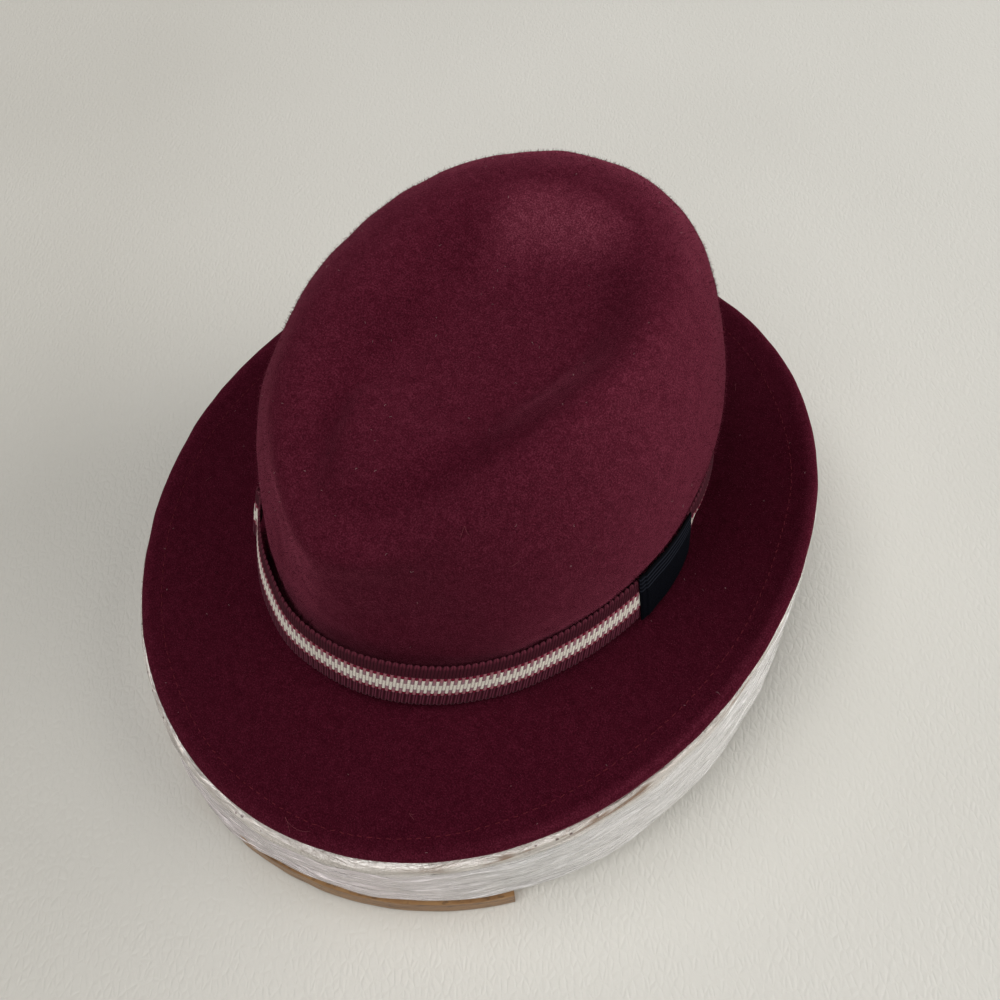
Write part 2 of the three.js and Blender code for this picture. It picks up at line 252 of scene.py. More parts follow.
def block_top(angle, share):
    reach = brim_reach(angle)
    p = brim_point(angle, share * reach)
    slope = brim_point(angle, share * reach + 1)[..., 2] - p[..., 2]
    sunk = smooth((share - HEM_SINK_START) / (1 - HEM_WIDTH / reach - HEM_SINK_START))
    p[..., 2] -= (FELT_THICKNESS + HEM_THICKNESS * sunk + CLEARANCE) * np.hypot(1, slope)
    return p


def block_outline(angle, out, z):
    edge = brim_point(angle, brim_reach(angle) + out)
    edge[..., 2] = z
    return edge


def ribbon_point(angle, share, out):
    front = np.cos(np.radians(angle))
    near_gap = np.maximum(0, np.cos(np.radians(angle - RIBBON_GAP_ANGLE))) ** 4
    gap = lerp(RIBBON_TOP_GAP, RIBBON_FRONT_GAP, near_gap)
    foot, foot_out = crown_plan(angle, 0.0)
    wall, wall_out = crown_plan(angle, (RIBBON_LIFT + RIBBON_WIDTH) / rim_height(angle))
    dip = RIBBON_DIP * bell(angle, RIBBON_DIP_ANGLE, RIBBON_DIP_SPREAD)
    low = foot + foot_out * (RIBBON_FLARE + RIBBON_FLARE_SWING * front - dip)[..., None]
    high = wall + wall_out * gap[..., None]
    share, out = (np.broadcast_to(v, foot.shape[:-1])[..., None] for v in (share, out))
    return lifted(lerp(low, high, share) + foot_out * out, RIBBON_LIFT + RIBBON_WIDTH * share[..., 0])


FRONT_END, BACK_END = (block_outline(a, BLOCK_OVERHANG, 0)[1] for a in (0.0, 180.0))
OFFSET = np.array([0, -(FRONT_END + BACK_END) / 2, BREAK_HEIGHT])


def ring_angles(columns):
    return np.arange(columns) * 360 / columns


def waves(points, wavelength, seed, count=24):
    """Smooth unevenness of about plus or minus one, from waves in all directions."""
    rng = np.random.default_rng(seed)
    total = np.zeros(points.shape[:-1])
    for _ in range(count):
        way = rng.normal(size=3)
        way *= 2 * np.pi / (np.linalg.norm(way) * wavelength * rng.uniform(0.7, 1.6))
        total += np.sin(points @ way + rng.uniform(0, 2 * np.pi))
    return total / np.sqrt(count)


def grid_normals(grid):
    """The way out of a ring grid whose rings close on themselves."""
    across = np.roll(grid, -1, 1) - np.roll(grid, 1, 1)
    along = np.gradient(grid, axis=0)
    return unit(np.cross(along, across))


def linked(name, data):
    """An object in the scene, for a mesh, lamp or camera."""
    thing = bpy.data.objects.new(name, data)
    bpy.context.scene.collection.objects.link(thing)
    return thing


def make_object(name, points, faces, material):
    """A mesh piece from points in millimetres, measured from the brim break's middle."""
    mesh = bpy.data.meshes.new(name)
    mesh.from_pydata(((np.asarray(points) + OFFSET) * MM).tolist(), [], faces)
    mesh.polygons.foreach_set("use_smooth", [True] * len(mesh.polygons))
    mesh.update()
    piece = linked(name, mesh)
    mesh.materials.append(material)
    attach(piece, "root")
    return piece


def ring_faces(rings, columns, close_rings=False):
    """Quads between rings, each of which closes on itself."""
    r = np.arange(rings if close_rings else rings - 1)[:, None]
    c = np.arange(columns)[None]
    near, far, right = r * columns, (r + 1) % rings * columns, (c + 1) % columns
    return np.stack([near + c, far + c, far + right, near + right], -1).reshape(-1, 4).tolist()


def bar_faces(rings, columns):
    """Faces of a bar made of rings, with a flat face at each end."""
    first, last = list(range(columns)), list(range((rings - 1) * columns, rings * columns))
    return [f[::-1] for f in ring_faces(rings, columns)] + [first, last[::-1]]


def fan(pole, ring_start, columns, outward):
    c = np.arange(columns)
    a, b = ring_start + c, ring_start + (c + 1) % columns
    first, second = (a, b) if outward else (b, a)
    return np.stack([np.full(columns, pole), first, second], -1).tolist()


def set_uv(piece, u, v, rings, columns, close_rings=False):
    """u runs along the columns and v along the rings, in the order of ring_faces."""
    r = np.arange(rings if close_rings else rings - 1)[:, None]
    c = np.arange(columns)[None]
    rr = np.stack([r + 0 * c, r + 1 + 0 * c, r + 1 + 0 * c, r + 0 * c], -1)
    cc = np.stack([c + 0 * r, c + 0 * r, c + 1 + 0 * r, c + 1 + 0 * r], -1)
    uv = np.stack([np.asarray(u)[cc], np.asarray(v)[rr]], -1).reshape(-1, 2)
    layer = piece.data.uv_layers.new(name="along")
    full = np.zeros((len(piece.data.loops), 2))
    full[: len(uv)] = uv
    layer.data.foreach_set("uv", full.ravel())


def set_values(piece, name, values):
    """A value for each point of a piece, for its material to read."""
    piece.data.attributes.new(name, "FLOAT", "POINT").data.foreach_set("value", values)


class Graph:
    """One material's nodes. Object coordinates are metres from the middle of the table."""

    def __init__(self, name, roughness):
        self.material = bpy.data.materials.new(name)
        self.material.use_nodes = True
        self.tree = self.material.node_tree
        self.shader = self.tree.nodes["Principled BSDF"]
        self.shader.inputs["Roughness"].default_value = roughness
        self.place = self.add("ShaderNodeTexCoord").outputs["Object"]
        self.along = self.add("ShaderNodeTexCoord").outputs["UV"]

    def add(self, kind, settings=(), inputs=()):
        node = self.tree.nodes.new(kind)
        for name, value in dict(settings).items():
            setattr(node, name, value)
        for name, value in dict(inputs).items():
            self.put(node.inputs[name], value)
        return node

    def put(self, socket, value):
        if isinstance(value, bpy.types.NodeSocket):
            self.tree.links.new(value, socket)
        elif value is not None:
            socket.default_value = value

    def math(self, operation, a, b=0.0, c=0.0):
        return self.add("ShaderNodeMath", {"operation": operation}, {0: a, 1: b, 2: c}).outputs[0]

    def times(self, a, b):
        return self.math("MULTIPLY", a, b)

    def split(self, vector):
        return self.add("ShaderNodeSeparateXYZ", inputs={0: vector}).outputs

    def away(self, value, middle):
        """How far a value lies from a middle one, to either side."""
        return self.math("ABSOLUTE", self.math("SUBTRACT", value, middle))

    def vector(self, operation, a, b, c=None):
        return self.add("ShaderNodeVectorMath", {"operation": operation}, {0: a, 1: b, 2: c}).outputs[0]

    def combine(self, x, y, z=None):
        return self.add("ShaderNodeCombineXYZ", inputs={0: x, 1: y, 2: z}).outputs[0]

    def noise(self, scale, detail=2.0, roughness=0.5, distortion=0.0, at=None):
        inputs = {"Vector": at or self.place, "Scale": scale, "Detail": detail}
        inputs.update({"Roughness": roughness, "Distortion": distortion})
        return self.add("ShaderNodeTexNoise", inputs=inputs).outputs["Fac"]

    def cells(self, scale, feature="F1", at=None):
        inputs = {"Vector": at or self.place, "Scale": scale}
        return self.add("ShaderNodeTexVoronoi", {"feature": feature}, inputs).outputs["Distance"]

    def span(self, value, low, high, to_low=0.0, to_high=1.0):
        inputs = {0: value, 1: low, 2: high, 3: to_low, 4: to_high}
        return self.add("ShaderNodeMapRange", inputs=inputs).outputs[0]

    def ramp(self, value, stops, steps="LINEAR"):
        node = self.add("ShaderNodeValToRGB", inputs={0: value})
        ramp = node.color_ramp
        ramp.interpolation = steps
        while len(ramp.elements) < len(stops):
            ramp.elements.new(1.0)
        for element, (position, colour) in zip(ramp.elements, stops):
            element.position = position
            element.color = (*colour, 1.0)
        return node.outputs["Color"]

    def mix(self, share, a, b, blend="MIX"):
        node = self.add("ShaderNodeMix", {"data_type": "RGBA", "blend_type": blend})
        self.put(node.inputs["Factor"], share)
        for socket, value in ((node.inputs[6], a), (node.inputs[7], b)):
            self.put(socket, value if isinstance(value, bpy.types.NodeSocket) else (*value, 1.0))
        return node.outputs[2]

    def bump(self, height, distance, normal=None):
        inputs = {"Height": height, "Distance": distance, "Normal": normal}
        return self.add("ShaderNodeBump", inputs=inputs).outputs["Normal"]

    def finish(self, colour, normal=None, roughness=None, **constants):
        self.put(self.shader.inputs["Base Color"], colour)
        self.put(self.shader.inputs["Normal"], normal)
        self.put(self.shader.inputs["Roughness"], roughness)
        for name, value in constants.items():
            self.shader.inputs[name.replace("_", " ")].default_value = value
        return self.material


# From the fibres' shadows to their tips
FELT_TONES = [(0.046, 0.0042, 0.0105), (0.073, 0.0078, 0.018), (0.13, 0.02, 0.039)]


def felt_material(name, lift):
    """Brushed felt, under each point's painted light and shade. lift brightens the loose hairs, a
    painted sheen.
    """
    g = Graph(name, 0.95)
    fibre = g.noise(1900, 2, 0.65)
    mottle = g.noise(300, 2, 0.6)
    tone = g.math("MULTIPLY_ADD", fibre, 0.8, g.times(mottle, 0.2))
    deep, mid, light = (tuple(c * lift for c in rgb) for rgb in FELT_TONES)
    colour = g.ramp(tone, [(0.34, deep), (0.5, mid), (0.66, light)])
    tone_and_painted_light = g.add("ShaderNodeAttribute", {"attribute_name": "tone_and_painted_light"}).outputs["Fac"]
    # Where painted shade or the darker brim darkens the felt, it is also a purer red
    shade = g.combine(tone_and_painted_light, g.math("POWER", tone_and_painted_light, 1.6), g.math("POWER", tone_and_painted_light, 1.25))
    return g.finish(
        g.vector("MULTIPLY", colour, shade),
        g.bump(fibre, 0.0004),
        Sheen_Weight=0.33,
        Sheen_Roughness=0.3,
        Sheen_Tint=(0.95, 0.2, 0.33, 1.0),
        Specular_IOR_Level=0.02,
    )


felt_cloth = felt_material("felt_cloth", 1.0)
# The loose hairs' colour is lifted, a painted sheen on them
felt_hair = felt_material("felt_hair", 2.2)

# The felt's grid of points: columns round the hat, and rings down from the dent's middle
FELT_COLUMNS = 360
DENT_RINGS = 58
WALL_RINGS = 62
BREAK_RINGS = 8
BRIM_RINGS = 45
UNEVEN_LONG = 0.3
UNEVEN_SHORT = 0.14
# The rim is rounded off over this many rings and times, fully at an angle with a spread and
# by the least share far from it. Then the crown's rings are smoothed round the hat.
RIM_ROUND_RINGS = 20
RIM_ROUND_TIMES = 220
RIM_ROUND_LEAST = 0.45
RIM_ROUND_ANGLE = (75, 48)
ROUND_ACROSS = 12
CROWN_RINGS = 112


def felt_top():
    """Rings of the felt's upper side, from the dent's middle to the start of the round edge."""
    a = ring_angles(FELT_COLUMNS)
    rings = [dent_point(a, share) for share in np.linspace(0.02, 1, DENT_RINGS, endpoint=False)]
    lowest = BREAK_RADIUS / rim_height(a)
    for t in np.linspace(0, 1, WALL_RINGS, endpoint=False):
        rings.append(crown_point(a, 1 - (1 - lowest) * t**1.7))
    rings += [break_point(a, share) for share in np.linspace(0.1, 1, BREAK_RINGS)]
    for share in np.linspace(0, 1, BRIM_RINGS + 1)[1:]:
        rings.append(brim_point(a, share * (brim_reach(a) - EDGE_ROUND)))
    return np.array(rings)


def softened(grid):
    """Rounds off the rim, most on the wearer's left, and smooths the crown round the hat."""
    grid = grid.copy()
    side = lerp(RIM_ROUND_LEAST, 1, bell(ring_angles(FELT_COLUMNS), *RIM_ROUND_ANGLE))[:, None]
    near = np.arange(DENT_RINGS - RIM_ROUND_RINGS, DENT_RINGS + RIM_ROUND_RINGS)
    amount = 0.5 * np.cos((near - DENT_RINGS) / RIM_ROUND_RINGS * np.pi / 2)[:, None, None] ** 2
    for _ in range(RIM_ROUND_TIMES):
        mean = (grid[near - 1] + grid[near + 1]) / 2
        grid[near] += amount * side * (mean - grid[near])
    for _ in range(ROUND_ACROSS):
        crown = grid[:CROWN_RINGS]
        crown += (np.roll(crown, 1, 1) + np.roll(crown, -1, 1) - 2 * crown) / 4
    return grid


def uneven(grid):
    """Blocked felt is never quite even."""
    amount = UNEVEN_LONG * waves(grid, 45, 3) + UNEVEN_SHORT * waves(grid, 13, 4)
    return grid + grid_normals(grid) * amount[..., None]


felt_outside = uneven(softened(felt_top()))
felt_out = grid_normals(felt_outside)

# Painted light and shade on the felt, as a lightness that multiplies its colour, 1 being plain:
# a darker brim, painted sheen along the brim's edge, painted shade round the dent's loop, in its
# crease, above the ribbon and on the brim behind the crown, and painted light on the dent's back
# wall and on the crown's two sides. Each place has its spread: down the dent's wall as a share,
# or round the hat as an angle.
BRIM_LIGHTNESS = 0.62
PAINTED_EDGE_SHEEN = 0.82
PAINTED_EDGE_SHEEN_LEFT = 0.25
PAINTED_LOOP_SHADE = 0.13
PAINTED_CREASE_SHADE = 0.16
PAINTED_BACK_WALL_LIGHT = 0.85
PAINTED_SHADE_ABOVE_RIBBON = 0.38
PAINTED_SIDE_LIGHT = 0.24
PAINTED_BRIM_SHADE = 0.14
PAINTED_WALL_AT = (0.5, 0.38)
PAINTED_CREASE_AT = (0.35, 0.28)
PAINTED_CREASE_ANGLE = (55, 28)
PAINTED_BRIM_SHADE_ANGLE = (118, 26)
PAINTED_EDGE_SHEEN_ANGLE = (72, 32)
PAINTED_BACK_ANGLE = (128, 34)
PAINTED_SHADE_ABOVE_FADE = 11
PAINTED_EDGE_SHEEN_SHARE = 0.08


def tone_and_painted_light_grid(grid):
    """The felt's lightness at each point of its outside: the darker brim and the painted light and
    shade.
    """
    angle = ring_angles(FELT_COLUMNS)[None]
    turn = turn_from_front(angle)
    r = np.arange(len(grid))[:, None]
    z = grid[..., 2]
    from_rim = np.linalg.norm(grid[..., :2] - grid[DENT_RINGS, :, :2], axis=-1)
    in_dent = r < DENT_RINGS
    down = dent_share(angle, from_rim)
    below_rim = np.where(in_dent, smooth(down / 0.2), 0)
    steep = bell(down, *PAINTED_WALL_AT) * below_rim
    at_back = smooth((turn - PAINTED_BACK_ANGLE[0]) / PAINTED_BACK_ANGLE[1])
    # Painted shade round the dent's loop, and painted light on its back wall
    loop_shade = steep * (1 - at_back) * PAINTED_LOOP_SHADE
    back_wall_light = steep * at_back * PAINTED_BACK_WALL_LIGHT
    # Painted shade above the ribbon, fading upward
    shade_above_ribbon = np.exp(-np.maximum(0, z - RIBBON_LIFT - RIBBON_WIDTH) / PAINTED_SHADE_ABOVE_FADE) * PAINTED_SHADE_ABOVE_RIBBON
    # Painted light on the crown's two sides, below the rim
    side = PAINTED_SIDE_LIGHT * np.sin(np.radians(angle)) ** 12 * smooth((r - DENT_RINGS + 6) / 20)
    # Painted shade in the crease just inside the rim on the wearer's left
    crease_shade = PAINTED_CREASE_SHADE * bell(down, *PAINTED_CREASE_AT) * bell(angle, *PAINTED_CREASE_ANGLE) * below_rim
    crown = 1 - loop_shade - crease_shade + back_wall_light + side - np.where(in_dent, 0, shade_above_ribbon)
    break_end = len(grid) - BRIM_RINGS - 1
    share = np.clip((r - break_end) / BRIM_RINGS, 0, 1)
    # A darker brim, with painted shade behind the crown on the wearer's left
    flat = BRIM_LIGHTNESS - PAINTED_BRIM_SHADE * bell(angle, *PAINTED_BRIM_SHADE_ANGLE)
    # Painted sheen along the brim's edge, most on the wearer's left
    edge = PAINTED_EDGE_SHEEN + PAINTED_EDGE_SHEEN_LEFT * bell(angle, *PAINTED_EDGE_SHEEN_ANGLE)
    brim = lerp(flat, edge, smooth((share - 1) / PAINTED_EDGE_SHEEN_SHARE + 1))
    return np.where(r < break_end - 4, crown, brim)


tone_and_painted_light = tone_and_painted_light_grid(felt_outside)


def felt_piece():
    """The felt's outside, its round edge, and its underside, which is thicker along the hem."""
    edge_way = unit(felt_outside[-1] - felt_outside[-2])
    middle = felt_outside[-1] - felt_out[-1] * EDGE_ROUND
    rounds = []
    for turn in np.radians([60, 35, 12, -12, -35, -60, -90]):
        rounds.append(middle + (edge_way * np.cos(turn) + felt_out[-1] * np.sin(turn)) * EDGE_ROUND)
    reach = brim_reach(ring_angles(FELT_COLUMNS))
    brim_start = len(felt_outside) - BRIM_RINGS
    under = []
    for r in range(len(felt_outside) - 2, brim_start, -3):
        distance = (r - brim_start + 1) / BRIM_RINGS * (reach - EDGE_ROUND)
        hem = HEM_THICKNESS * smooth((distance - reach + HEM_WIDTH + 1) / 1.5)
        under.append(felt_outside[r] - felt_out[r] * (FELT_THICKNESS + hem)[:, None])
    for r in range(brim_start, 0, -4):
        under.append(felt_outside[r] - felt_out[r] * FELT_THICKNESS)
    rings = np.array([*felt_outside, *rounds, *under])
    pole = dent_point(0.0, 0.0)
    points = np.concatenate([rings.reshape(-1, 3), [pole, pole - [0, 0, FELT_THICKNESS]]])
    faces = ring_faces(len(rings), FELT_COLUMNS)
    faces += fan(len(points) - 2, 0, FELT_COLUMNS, True)
    faces += fan(len(points) - 1, (len(rings) - 1) * FELT_COLUMNS, FELT_COLUMNS, False)
    piece = make_object("felt", points, faces, felt_cloth)
    values = np.full(len(points), BRIM_LIGHTNESS)
    values[: tone_and_painted_light.size] = tone_and_painted_light.ravel()
    # Painted sheen on the brim's round edge
    values[tone_and_painted_light.size : tone_and_painted_light.size + len(rounds) * FELT_COLUMNS] = PAINTED_EDGE_SHEEN
    values[-2] = tone_and_painted_light[0].mean()
    set_values(piece, "tone_and_painted_light", values)
    return piece


felt = felt_piece()
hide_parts("felt_body")


def on_felt(angle, ring):
    """A point of the felt's outside and the way out there, at a ring that may lie between two."""
    column = np.mod(angle, 360) / 360 * FELT_COLUMNS
    r = np.clip(np.asarray(ring, float), 0, len(felt_outside) - 1.001)
    r0, c0 = r.astype(int), column.astype(int) % FELT_COLUMNS
    c1, fr, fc = (c0 + 1) % FELT_COLUMNS, (r % 1)[..., None], (column % 1)[..., None]

    def between(grid):
        first = lerp(grid[r0, c0], grid[r0, c1], fc)
        return lerp(first, lerp(grid[r0 + 1, c0], grid[r0 + 1, c1], fc), fr)

    return between(felt_outside), between(felt_out)


# Hairs start a little inside the cloth, and lean away from straight up by chance
HAIR_SINK = 0.15
HAIR_LEAN = 0.9
HAIR_SHORTEST = 0.4


def hair_piece(name, count, length, radius, material, seed):
    """Short loose hairs all over the felt, each a thin closed spike."""
    rng = np.random.default_rng(seed)
    across = np.linalg.norm(np.roll(felt_outside, -1, 1) - felt_outside, axis=-1)[:-1]
    along = np.linalg.norm(np.diff(felt_outside, axis=0), axis=-1)
    weight = (across * along).ravel()
    cell = rng.choice(weight.size, count, p=weight / weight.sum())
    ring = cell // FELT_COLUMNS + rng.random(count)
    angle = (cell % FELT_COLUMNS + rng.random(count)) * 360 / FELT_COLUMNS
    root, out = on_felt(angle, ring)
    way = unit(out + rng.normal(size=(count, 3)) * HAIR_LEAN)
    side = unit(np.cross(way, out + 0.01))
    other = np.cross(way, side)
    long = length * rng.uniform(HAIR_SHORTEST, 1.0, count)[:, None]
    root = root - out * HAIR_SINK
    corners = [root + radius * (side * np.cos(t) + other * np.sin(t)) for t in np.radians([0, 120, 240])]
    points = np.stack([*corners, root + way * (long + HAIR_SINK)], 1).reshape(-1, 3)
    start = 4 * np.arange(count)[:, None]
    faces = np.concatenate([start + f for f in ([0, 1, 3], [1, 2, 3], [2, 0, 3], [2, 1, 0])])
    piece = make_object(name, points, faces.tolist(), material)
    # The hairs take the painted light and shade of the felt under them
    set_values(piece, "tone_and_painted_light", np.repeat(tone_and_painted_light[ring.astype(int), cell % FELT_COLUMNS], 4))
    return piece


hair = hair_piece("felt_hair", count=38000, length=0.8, radius=0.024, material=felt_hair, seed=5)
fuzz = hair_piece("felt_fuzz", count=48000, length=1.8, radius=0.085, material=felt_cloth, seed=6)


def tube(path, radius, sides=6):
    """Points and faces of a closed tube along a path, with a radius for each of its points."""
    path = np.asarray(path, float)
    way = unit(np.gradient(path, axis=0))
    side = unit(np.cross(way, [0.3, 0.2, 0.93]))
    other = np.cross(way, side)
    turn = np.arange(sides) * 2 * np.pi / sides
    ring = side[:, None] * np.cos(turn)[None, :, None] + other[:, None] * np.sin(turn)[None, :, None]
    points = path[:, None] + ring * np.asarray(radius)[:, None, None]
    return points.reshape(-1, 3), bar_faces(len(path), sides)


def joined(shapes):
    points, faces, start = [], [], 0
    for shape_points, shape_faces in shapes:
        points.append(shape_points)
        faces += [[i + start for i in face] for face in shape_faces]
        start += len(shape_points)
    return np.concatenate(points), faces


# Stitches along the hem, where the brim is turned under
STITCH_PITCH = 3.6
STITCH_LENGTH = 2.3
STITCH_RADIUS = 0.2
# Along a stitch: its height over the felt, and its radius as a share
STITCH_RISE = [-0.3, 0.02, 0.1, 0.1, 0.02, -0.3]
STITCH_TAPER = [0.7, 1, 1, 1, 1, 0.7]
STITCH_STRAY = 0.04
STITCH_SLANT = 0.12
STITCH_RINGS = {
    "angle": [0, 15, 30, 48, 68, 88, 108, 126, 155, 220, 260, 300, 330, 345, 360],
    "inset": [8.2, 7.3, 8.2, 10, 11.2, 10.2, 10.6, 9.3, 11.8, 11, 10.2, 9.6, 9.6, 8.9, 8.2],
}


def brim_ring(angle, inset):
    """The ring of the felt's outside that lies a given way in from the brim's edge."""
    share = 1 - (inset - EDGE_ROUND) / (brim_reach(angle) - EDGE_ROUND)
    return len(felt_outside) - BRIM_RINGS - 1 + BRIM_RINGS * share


def stitch_piece():
    sample = np.linspace(0, 360, 1441)
    inset = read_table(STITCH_RINGS, "angle", "inset", sample)
    line, _ = on_felt(sample, brim_ring(sample, inset))
    length = length_along(line)
    count = int(length[-1] / STITCH_PITCH)
    rng = np.random.default_rng(8)
    shapes = []
    for k in range(count):
        middle = (k + rng.normal(0, STITCH_STRAY)) * length[-1] / count
        half = STITCH_LENGTH / 2 * rng.uniform(0.85, 1.1)
        along = np.linspace(-1, 1, len(STITCH_RISE))
        at = np.interp(middle + half * along, length, sample)
        slant = rng.normal(0, STITCH_SLANT) * along
        ring = brim_ring(at, read_table(STITCH_RINGS, "angle", "inset", at) + slant)
        points, out = on_felt(at, ring)
        path = points + out * np.array(STITCH_RISE)[:, None]
        shapes.append(tube(path, STITCH_RADIUS * np.array(STITCH_TAPER)))
    return make_object("hem_stitches", *joined(shapes), thread_material())


def thread_material():
    g = Graph("stitch_thread", 0.7)
    twist = g.noise(4200, 2)
    colour = g.ramp(twist, [(0.3, (0.055, 0.004, 0.009)), (0.7, (0.14, 0.014, 0.024))])
    return g.finish(colour, g.bump(twist, 0.00008), Specular_IOR_Level=0.1)


stitches = stitch_piece()

# Lint: specks and threads that lie on the felt. Each thread is placed by the angle round the hat,
# its inset from the brim's edge, or its ring where the inset is 0, its length and its curl.
SPECKS = 130
SPECK_LENGTHS = (0.5, 1.7)
SPECK_CURLS = (0.2, 1.5)
SPECK_RADII = (0.03, 0.075)
THREAD_RADIUS = 0.07
ANY_WAY = (0, 6.28)
THREADS = {
    "angle": [10, 43, 52, 300, 66, 28, 150, 200],
    "inset": [2, 0, 0, 20, 0, 14, 25, 9],
    "ring": [0, 75, 88, 0, 96, 0, 0, 0],
    "length": [12, 9, 6, 5, 7, 5, 6, 8],
    "curl": [2.2, 1.6, 0.8, 1.0, 1.2, 1.4, 1.0, 1.3],
}


def thread_path(angle, ring, length, curl, way, steps=14):
    """A curling line on the felt, from a place and a direction on it."""
    at, out = on_felt(np.array([float(angle)]), np.array([float(ring)]))
    at, out = at[0], out[0]
    side = unit(np.cross(out, [np.cos(way), np.sin(way), 0.3]))
    ahead = np.cross(side, out)
    t = np.linspace(0, 1, steps)
    x = length * 0.45 * np.sin(curl * 2 * t)
    y = length * 0.45 * (t + 0.25 * np.sin(curl * 3 * t))
    lift = 0.25 + 0.5 * np.sin(np.pi * t) ** 2
    return at + side * x[:, None] + ahead * y[:, None] + out * lift[:, None]


def lint_pieces():
    rng = np.random.default_rng(17)
    shapes = []
    for _ in range(SPECKS):
        angle, ring = rng.uniform(0, 360), rng.uniform(8, len(felt_outside) - 2)
        length, curl = rng.uniform(*SPECK_LENGTHS), rng.uniform(*SPECK_CURLS)
        path = thread_path(angle, ring, length, curl, rng.uniform(*ANY_WAY), 5)
        shapes.append(tube(path, np.full(5, rng.uniform(*SPECK_RADII)), 4))
    specks = make_object("lint_specks", *joined(shapes), lint_material("pale_lint", (0.4, 0.24, 0.25)))
    shapes = []
    for k, angle in enumerate(THREADS["angle"]):
        inset = THREADS["inset"][k]
        ring = brim_ring(angle, inset) if inset else THREADS["ring"][k]
        path = thread_path(angle, ring, THREADS["length"][k], THREADS["curl"][k], rng.uniform(*ANY_WAY))
        shapes.append(tube(path, np.full(len(path), THREAD_RADIUS), 5))
    threads = make_object("lint_threads", *joined(shapes), lint_material("red_lint", (0.2, 0.045, 0.06)))
    return specks, threads


def lint_material(name, colour):
    g = Graph(name, 0.8)
    fleck = g.noise(1500, 1)
    dark = tuple(c * 0.6 for c in colour)
    return g.finish(g.ramp(fleck, [(0.35, dark), (0.65, colour)]), Specular_IOR_Level=0.1)


for lint in lint_pieces():
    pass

# Ribbon band: two ribs to a repeat of the woven stripe
RIBBON_REPEATS = 230
RIB_COLUMNS = 8
RIB_DEPTH = 0.26
PICOT_TOP = 0.7
PICOT_FOOT = 0.65
PICOT_TOP_HALF = 0.36
PICOT_FOOT_HALF = 0.38
# How much of the band's width the picots and the rounding of its edges take up
PICOT_SHARE = 0.1
EDGE_SHARE = 0.04
STRIPE_LOW = 0.27
STRIPE_HIGH = 0.73
STRIPE_RAISED = 0.14
RIBBON_SWAY = 0.25
# Where the band's points lie across it, as shares of its width from the foot
RIBBON_ROWS = [0, 0.012, 0.04, 0.1, 0.18, 0.25, 0.29, 0.35, 0.41]
RIBBON_ROWS += [0.49, 0.57, 0.63, 0.69, 0.74, 0.82, 0.9, 0.96, 0.988, 1]
# The ribs lean this many degrees of the turn from foot to top, away from the middle of the front
RIB_LEAN = 3.2
RIB_LEAN_MIDDLE = 10
# Behind the tab the band bends out at the top of its stripe
BEND_OUT = 2.3
BEND_START = 102
BEND_EASE = 6
BEND_SPREAD = 0.2

# A kink on the wearer's right, where the band stands away from the crown
KINK_ANGLE = 313.5
KINK_SPREAD = 1.6
KINK_OUT = 2.0


def arch(share):
    """A round arch: 1 where the share is 0, down to 0 where it is 1."""
    return np.sqrt(np.maximum(0, 1 - share**2))


def ribbon_angles():
    """Angles whose steps are even along the band."""
    sample = np.linspace(0, 360, 2881)
    length = length_along(ribbon_point(sample, 0.5, 0))
    count = 2 * RIBBON_REPEATS * RIB_COLUMNS
    return np.interp(np.arange(count) / count * length[-1], length, sample)


def ribbon_piece():
    angle = ribbon_angles()
    columns = len(angle)
    u = np.arange(columns) / RIB_COLUMNS
    from_pair = (u % 2) / 2 - 0.5
    rib = arch(2 * (u % 1) - 1)
    top_bump = arch(from_pair / PICOT_TOP_HALF) * PICOT_TOP
    foot_bump = arch(from_pair / PICOT_FOOT_HALF) * PICOT_FOOT
    sway = waves(ribbon_point(angle, 0.5, 0), 30, 11) * RIBBON_SWAY
    sway += KINK_OUT * bell(angle, KINK_ANGLE, KINK_SPREAD)
    lean = RIB_LEAN * np.sin(np.radians(angle - RIB_LEAN_MIDDLE))
    behind = bell(angle, RIBBON_DIP_ANGLE, RIBBON_DIP_SPREAD)
    behind *= BEND_OUT * smooth((angle - BEND_START) / BEND_EASE)

    def at(share, middle, out):
        bend = behind * bell(middle, STRIPE_HIGH, BEND_SPREAD)
        return ribbon_point(np.mod(angle + lean * (middle - 0.5), 360), share, out + bend)

    outer, inner = [], []
    for v in RIBBON_ROWS:
        top, foot = smooth((v - 1) / PICOT_SHARE + 1), smooth(1 - v / PICOT_SHARE)
        share = v + (top_bump * top - foot_bump * foot) / RIBBON_WIDTH
        rounded = arch(max(0, (abs(v - 0.5) - 0.5) / EDGE_SHARE + 1))
        depth = RIB_DEPTH * rib + STRIPE_RAISED * (STRIPE_LOW < v < STRIPE_HIGH)
        out = RIBBON_THICKNESS * (0.25 + 0.75 * rounded) + (depth - RIB_DEPTH) * rounded + sway
        outer.append(at(share, v, out))
    for v in (1, 0.5, 0):
        share = v + (top_bump * (v == 1) - foot_bump * (v == 0)) / RIBBON_WIDTH
        inner.append(at(share, v, 0.02 + sway))
    rings = np.array(outer[::-1] + inner[::-1])
    faces = ring_faces(len(rings), columns, True)
    piece = make_object("ribbon", rings.reshape(-1, 3), faces, ribbon_material())
    up = [*RIBBON_ROWS[::-1], 0, 0.5, 1, 1]
    set_uv(piece, np.arange(columns + 1) / RIB_COLUMNS, up, len(rings), columns, True)
    return piece


